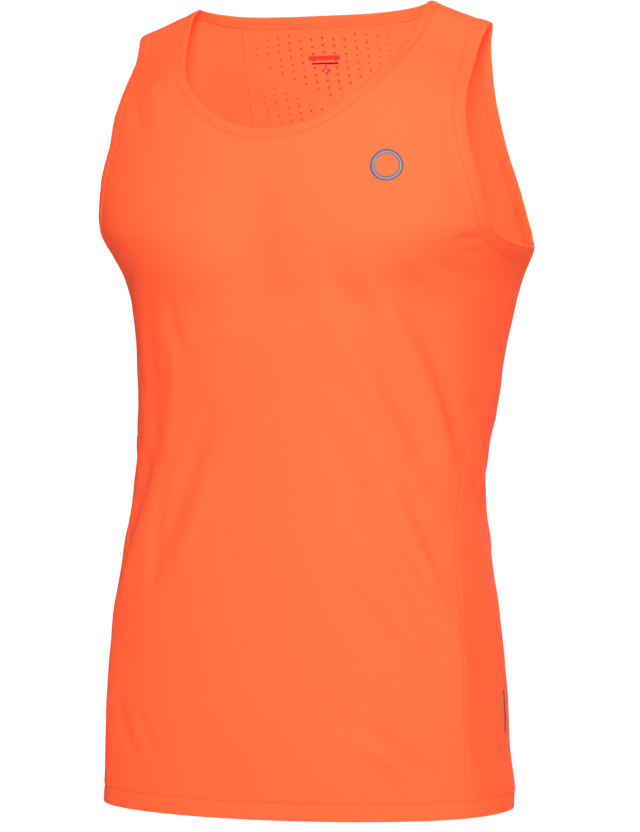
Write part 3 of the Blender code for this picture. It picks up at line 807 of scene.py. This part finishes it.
# Cross-section from the outside over to the inside: share of the width, and a distance to add to it, from the
# opening's edge; then out. Both distances are in millimetres.
BINDING_SECTION = np.array([
    (1, -0.2, -0.45), (1, -0.2, 0.05), (1, -0.5, 0.32), (1, -1.0, 0.36), (1, -1.4, 0.16), (1, -1.8, 0.02),
    (1, -2.3, 0.20), (1, -3.0, 0.40), (0.5, 0.0, 0.57), (0, 2.2, 0.46), (0, 1.1, 0.36), (0, 0.5, 0.10),
    (0, 0.12, -0.25), (0, 0.0, -0.62), (0, 0.15, -1.00), (0, 0.6, -1.32), (0, 1.3, -1.48), (0.5, 0.0, -1.58),
    (1, -2.6, -1.50), (1, -1.8, -1.18), (1, -1.0, -1.40), (1, -0.3, -1.28), (1, -0.2, -0.90),
])


def binding_profile(width):
    """The section of a binding this wide, as (distance from the opening's edge, out)."""
    share, further, out = BINDING_SECTION.T
    return np.stack([share * width + further / 1000, out / 1000], axis=-1)


def swept(name, profile, stretches, material, loose):
    """A closed ring with one cross-section all the way. stretches are (edge, turns, back, side, in order or not)."""
    lines = []
    for edge, turn, back, side, keep in stretches:
        columns = [inset(edge, turn, back, distance) for distance, _ in profile]
        places = np.stack(columns, axis=1) * np.array([side, 1.0])
        lines.append(places[keep])
    places = np.concatenate(lines)
    middle = folded_form(places[:, len(profile) // 2, 0], places[:, len(profile) // 2, 1])
    run = np.append(0, np.cumsum(np.linalg.norm(np.diff(middle, axis=0), axis=-1)))
    way = run / (run[-1] + np.linalg.norm(middle[0] - middle[-1])) * 2 * math.pi
    pucker = sum(np.sin(k * way + phase) * part for k, phase, part in ((47, 0.3, 1.0), (61, 2.0, 0.8), (29, 4.0, 0.9)))
    outs = profile[None, :, 1] + loose * pucker[:, None] * np.exp(-profile[None, :, 0] / 0.006)
    points = cloth(places, outs)
    rows, columns = points.shape[:2]
    faces = []
    for i, j in np.ndindex(rows, columns):
        a, b = (i + 1) % rows, (j + 1) % columns
        faces.append((i * columns + j, a * columns + j, a * columns + b, i * columns + b))
    mesh = bpy.data.meshes.new(name)
    mesh.from_pydata(points.reshape(-1, 3).tolist(), [], faces)
    across = np.append(0, np.cumsum(np.hypot(*np.diff(profile, axis=0).T)))
    lengths = np.stack(np.broadcast_arrays(run[:, None], across[None, :]), axis=-1).reshape(-1, 2)
    lay_lengths(mesh, lengths)
    work = bmesh.new()
    work.from_mesh(mesh)
    bmesh.ops.recalc_face_normals(work, faces=work.faces)
    work.to_mesh(mesh)
    work.free()
    mesh.materials.append(material)
    mesh.shade_smooth()
    return object_of(name, mesh)


binding = knit_material("orange_binding", (1.0, 0.100, 0.030), (1.0, 0.094, 0.028), 0.72, 0.00010)
ALL = slice(None)
NECK_LOOP_FRONT = turns(0.0, 1.0, 64)
NECK_LOOP_BACK = turns(0.0, 1.0, 52)
neck_stretches = [
    (neck_edge, NECK_LOOP_FRONT, False, 1, ALL),
    (neck_edge, NECK_LOOP_FRONT, False, -1, slice(-2, None, -1)),
    (neck_edge, NECK_LOOP_BACK, True, -1, slice(1, None)),
    (neck_edge, NECK_LOOP_BACK, True, 1, slice(-2, 0, -1)),
]
neck_binding = swept("neck_binding", binding_profile(NECK_BAND + UNDER_BINDING), neck_stretches, binding, 0.00005)
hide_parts("neck_band")
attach(neck_binding, "root")

ARMHOLE_LOOP = turns(0.0, 1.0, 88)
armhole_stretches = {side: [
    (armhole_edge, ARMHOLE_LOOP, False, side, ALL),
    (armhole_edge, ARMHOLE_LOOP, True, side, slice(-2, 0, -1)),
] for side in (1, -1)}
for side, replaced in ((1, "armhole_band_left"), (-1, "armhole_band_right")):
    binding_ring = swept(replaced.replace("band", "binding"), binding_profile(ARMHOLE_BAND + UNDER_BINDING),
                         armhole_stretches[side], binding, 0.00010)
    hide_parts(replaced)
    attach(binding_ring, "root")

# ---- Stitching ----
# Fine polyester thread in the cloth's own orange: one row on each binding, one row round the hem, and one row down
# each seam.

thread, thread_tree, thread_shader = new_material("orange_thread")
twist = node(thread_tree, "ShaderNodeTexWave", inputs={
    "Vector": object_place(thread_tree), "Scale": 900.0, "Distortion": 1.0})
thread_colour = node(thread_tree, "ShaderNodeMix", data_type="RGBA", inputs={
    0: twist.outputs["Fac"], 6: (1.0, 0.105, 0.034, 1), 7: (1.0, 0.135, 0.05, 1)})
thread_bump = node(thread_tree, "ShaderNodeBump", inputs={
    "Strength": 0.4, "Distance": 0.00005, "Height": twist.outputs["Fac"]})
feed(thread_shader, {"Base Color": thread_colour.outputs[2], "Normal": thread_bump.outputs[0]})
thread_shader.inputs["Roughness"].default_value = 0.55
thread_shader.inputs["Specular IOR Level"].default_value = 0.25

sewing, sewing_in, sewing_out = group_with("stitch_row", "GeometryNodeTree", {
    **GEOMETRY, "Stitch Length": ("Float", 0.0019), "Pitch": ("Float", 0.0026), "Thread Width": ("Float", 0.00042),
    "Thread": ("Material", None)}, GEOMETRY)
path = node(sewing, "GeometryNodeMeshToCurve", inputs={"Mesh": sewing_in.outputs["Geometry"]})
spaced = node(sewing, "GeometryNodeCurveToPoints", mode="LENGTH", inputs={
    "Curve": path.outputs[0], "Length": sewing_in.outputs["Pitch"]})
stitch = node(sewing, "GeometryNodeMeshUVSphere", inputs={"Segments": 6, "Rings": 4, "Radius": 0.5})
lying = node(sewing, "FunctionNodeAlignRotationToVector", axis="X", inputs={"Vector": spaced.outputs["Tangent"]})
stitch_size = node(sewing, "ShaderNodeCombineXYZ", inputs={
    0: sewing_in.outputs["Stitch Length"], 1: sewing_in.outputs["Thread Width"], 2: sewing_in.outputs["Thread Width"]})
laid = node(sewing, "GeometryNodeInstanceOnPoints", inputs={
    "Points": spaced.outputs["Points"], "Instance": stitch.outputs["Mesh"], "Rotation": lying.outputs[0],
    "Scale": stitch_size.outputs[0]})
sewn_row = node(sewing, "GeometryNodeRealizeInstances", inputs={"Geometry": laid.outputs[0]})
threaded = node(sewing, "GeometryNodeSetMaterial", inputs={
    "Geometry": sewn_row.outputs[0], "Material": sewing_in.outputs["Thread"]})
smoothed = node(sewing, "GeometryNodeSetShadeSmooth", inputs={"Geometry": threaded.outputs[0]})
feed(sewing_out, {0: smoothed.outputs[0]})


def stitch_rows(name, rows, slot, **sizes):
    """One piece of stitching along rows of points. A row is (points, closed or not)."""
    points, edges = [], []
    for line, closed in rows:
        start = len(points)
        points += np.asarray(line).tolist()
        edges += [(start + k, start + k + 1) for k in range(len(line) - 1)]
        edges += [(start + len(line) - 1, start)] if closed else []
    mesh = bpy.data.meshes.new(name)
    mesh.from_pydata(points, edges, [])
    obj = object_of(name, mesh)
    row = obj.modifiers.new("stitches", "NODES")
    row.node_group = sewing
    set_inputs(row, Thread=thread, **sizes)
    made_plain(obj)
    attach(obj, "root")
    return obj


def edge_row(stretches, distance, out):
    """Points of a stitch row round an opening."""
    lines = [(inset(edge, turn, back, distance) * np.array([side, 1.0]))[keep]
             for edge, turn, back, side, keep in stretches]
    return cloth(np.concatenate(lines), out), True


EDGE_ROW = 0.0012  # from a binding's inner edge to its stitches
stitch_rows("neck_stitching", [edge_row(neck_stretches, NECK_BAND - EDGE_ROW, 0.00012)], "binding")
stitch_rows("armhole_stitching", [
    edge_row(armhole_stretches[side], ARMHOLE_BAND - EDGE_ROW, 0.00012) for side in (1, -1)], "binding")
round_hem = np.linspace(-math.pi, math.pi, 400)[:-1]
hem_line = np.stack([round_hem, np.full(len(round_hem), row_at(HEM + HEM_DEPTH))], axis=-1)
stitch_rows("hem_stitching", [(cloth(hem_line, -0.00062), True)], "knit",
            Stitch_Length=0.0022, Pitch=0.0030, Thread_Width=0.00045)
side_heights = down(height_of(inset(armhole_edge, np.array([1.0]), False, ARMHOLE_BAND)[0]))
side_line = side_seam(side_heights[:-12])
long_line = seam_line[:-12]
seam_rows = [(cloth(line * np.array([side, 1.0]), -0.00052), False)
             for line in (side_line, long_line) for side in (1, -1)]
stitch_rows("seam_stitching", seam_rows, "knit", Stitch_Length=0.0016, Pitch=0.0024, Thread_Width=0.00036)

# ---- Chest badge ----
# A plain ring of thin grey film, heat-pressed on the wearer's left chest. Its face is satin.

BADGE_ROUND = 0.085
BADGE_HEIGHT = -0.152
BADGE_RADIUS = 0.0145
BADGE_STROKE = 0.0045
FILM = 0.00032  # thickness; half of it is pressed into the knit
film, film_tree, film_shader = new_material("grey_film")
film_grain = node(film_tree, "ShaderNodeTexNoise", inputs={
    "Vector": object_place(film_tree), "Scale": 900.0, "Detail": 3.0})
film_tint = node(film_tree, "ShaderNodeMix", data_type="RGBA", inputs={
    0: film_grain.outputs["Fac"], 6: (0.080, 0.060, 0.084, 1), 7: (0.110, 0.085, 0.112, 1)})
film_rough = node(film_tree, "ShaderNodeMapRange", inputs={
    0: film_grain.outputs["Fac"], 1: 0.3, 2: 0.7, 3: 0.34, 4: 0.5})
film_bump = node(film_tree, "ShaderNodeBump", inputs={
    "Strength": 0.3, "Distance": 0.00004, "Height": film_grain.outputs["Fac"]})
feed(film_shader, {
    "Base Color": film_tint.outputs[2], "Roughness": film_rough.outputs[0], "Normal": film_bump.outputs[0]})
film_shader.inputs["Specular IOR Level"].default_value = 0.3


def pressed(name, places, out, thickness, material):
    """A thin patch of film or ink on the cloth. places is a grid; out is the height of its face over the cloth."""
    bevel = np.zeros(places.shape[:2])
    bevel[0], bevel[-1] = thickness * 0.45, thickness * 0.45
    patch = cloth_wall(name, [(places, out - bevel)], thickness, material)
    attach(patch, "root")
    return patch


badge_at = np.array([[BADGE_ROUND / FOLD_GIRTH, float(row_at(BADGE_HEIGHT))]])
per_angle, per_row = (np.linalg.norm(way) for way in slopes(bare_form, badge_at[:, 0], badge_at[:, 1]))
round_it = np.linspace(0, 2 * math.pi, 73)[None, :]
radius = (BADGE_RADIUS - BADGE_STROKE * np.array([0.0, 0.03, 0.5, 0.97, 1.0]))[:, None]
badge_places = np.stack([
    badge_at[0, 0] + radius * np.cos(round_it) / per_angle,
    badge_at[0, 1] + radius * np.sin(round_it) / per_row,
], axis=-1)
badge = pressed("chest_ring", badge_places, FILM / 2, FILM, film)
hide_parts("chest_badge")

# ---- Hip strip ----
# A narrow upright strip of the same grey film, heat-pressed on the wearer's left back hip, where little of it shows.

STRIP_ROUND = 0.2675
STRIP_WIDTH = 0.005
strip_across, strip_rows = np.meshgrid(
    (STRIP_ROUND + STRIP_WIDTH * np.linspace(-0.5, 0.5, 5)) / FOLD_GIRTH, row_at(np.linspace(-0.602, -0.640, 19)))
strip_places = np.stack([strip_across, strip_rows], axis=-1)
pressed("hip_strip", strip_places, FILM / 2, FILM, film)

# ---- Neck print ----
# Plain printed marks inside the back of the neck, in place of a label: a bar, a thin line under it and a small oval.


def printing_ink(name, dark, light):
    ink, tree, shader = new_material(name)
    worn = node(tree, "ShaderNodeTexNoise", inputs={
        "Vector": object_place(tree), "Scale": 1500.0, "Detail": 2.0})
    tint = node(tree, "ShaderNodeMix", data_type="RGBA", inputs={
        0: worn.outputs["Fac"], 6: (*dark, 1), 7: (*light, 1)})
    feed(shader, {"Base Color": tint.outputs[2]})
    shader.inputs["Roughness"].default_value = 0.8
    shader.inputs["Specular IOR Level"].default_value = 0.08
    return ink


print_red = printing_ink("print_red", (0.30, 0.018, 0.020), (0.40, 0.030, 0.028))
print_dark = printing_ink("print_dark", (0.030, 0.008, 0.012), (0.060, 0.014, 0.018))
print_grey = printing_ink("print_grey", (0.12, 0.055, 0.055), (0.17, 0.080, 0.075))


def inside_patch(name, height, half_wide, half_tall, rounded, ink):
    """A printed mark on the inner face at the centre back."""
    row = float(row_at(height))
    way_round, way_down = (np.linalg.norm(way) for way in slopes(bare_form, np.array([math.pi]), np.array([row])))
    if rounded:
        turn = np.linspace(0, 2 * math.pi, 33)[None, :]
        share = np.array([1.0, 0.96, 0.55, 0.45])[:, None]
        across, up = share * np.cos(turn) * half_wide, share * np.sin(turn) * half_tall
    else:
        across, up = np.meshgrid(np.linspace(-half_wide, half_wide, 13), np.linspace(half_tall, -half_tall, 5))
    places = np.stack([math.pi + across / way_round, row + up / way_down], axis=-1)
    return pressed(name, places, -CLOTH - 0.00035, 0.00012, ink)


inside_patch("neck_print_bar", -0.0440, 0.0150, 0.0019, False, print_red)
inside_patch("neck_print_line", -0.0488, 0.0128, 0.0008, False, print_dark)
inside_patch("neck_print_oval", -0.0550, 0.0046, 0.0021, True, print_grey)

# ---- Studio ----
# A plain pale floor under the hem, a broad soft lamp ahead and one behind, even light all round, and two small lamps
# inside for the light that comes through the thin cloth.

FLOOR_RADIUS = 1.65
FLOOR_HEIGHT = -1.02
floor_mesh = bpy.data.meshes.new("floor")
around = np.linspace(0, 2 * math.pi, 97)[:-1]
rim = np.stack([FLOOR_RADIUS * np.cos(around), FLOOR_RADIUS * np.sin(around), np.full(96, FLOOR_HEIGHT)], axis=-1)
floor_mesh.from_pydata(rim.tolist(), [], [tuple(range(96))])
floor_white, _, floor_shader = new_material("floor_white")
floor_shader.inputs["Base Color"].default_value = (0.92, 0.92, 0.92, 1.0)
floor_shader.inputs["Roughness"].default_value = 0.9
floor_mesh.materials.append(floor_white)
floor = object_of("floor", floor_mesh)

world = bpy.data.worlds.new("studio")
bpy.context.scene.world = world
world.use_nodes = True
backdrop = world.node_tree.nodes["Background"]
seen = node(world.node_tree, "ShaderNodeLightPath")
strength = node(world.node_tree, "ShaderNodeMapRange", inputs={0: seen.outputs["Is Camera Ray"], 3: 0.25, 4: 1.05})
feed(backdrop, {"Color": (1.0, 1.0, 1.0, 1.0), "Strength": strength.outputs[0]})


AIMED_AT = -0.30  # height that the lamps face


def soft_lamp(name, azimuth, height, distance, size, power):
    data = bpy.data.lights.new(name, "AREA")
    data.shape = "DISK"
    data.size = size
    data.energy = power
    lamp = object_of(name, data)
    turn = math.radians(azimuth)
    lamp.location = (math.sin(turn) * distance, -math.cos(turn) * distance, height)
    lamp.rotation_euler = (math.atan2(distance, height - AIMED_AT), 0.0, turn)


soft_lamp("key", 21, 0.70, 1.9, 0.7, 66)
soft_lamp("rear", 172, 0.8, 2.4, 1.4, 46)
for name, place, power in (
    ("neck_fill", (-0.030, -0.060, -0.135), 0.19),
    ("armhole_fill", (0.070, -0.030, -0.140), 0.29),
):
    glow = bpy.data.lights.new(name, "POINT")
    glow.shadow_soft_size = 0.03
    glow.energy = power
    inside = object_of(name, glow)
    inside.location = place
    inside.visible_camera = False
bpy.context.scene.view_settings.view_transform = "Standard"

camera_data = bpy.data.cameras.new("camera")
camera_data.sensor_fit = "VERTICAL"
camera_data.sensor_height = 36.0
camera_data.lens = 155.77
camera_data.shift_x = 0.006
camera_data.clip_end = 200.0
camera = object_of("camera", camera_data)
CAMERA_TURN = math.radians(20)  # towards the wearer's left
CAMERA_AWAY = 3.2
camera.location = (math.sin(CAMERA_TURN) * CAMERA_AWAY, -math.cos(CAMERA_TURN) * CAMERA_AWAY, -0.365)
camera.rotation_euler = (math.pi / 2, 0.0, CAMERA_TURN)
bpy.context.scene.camera = camera
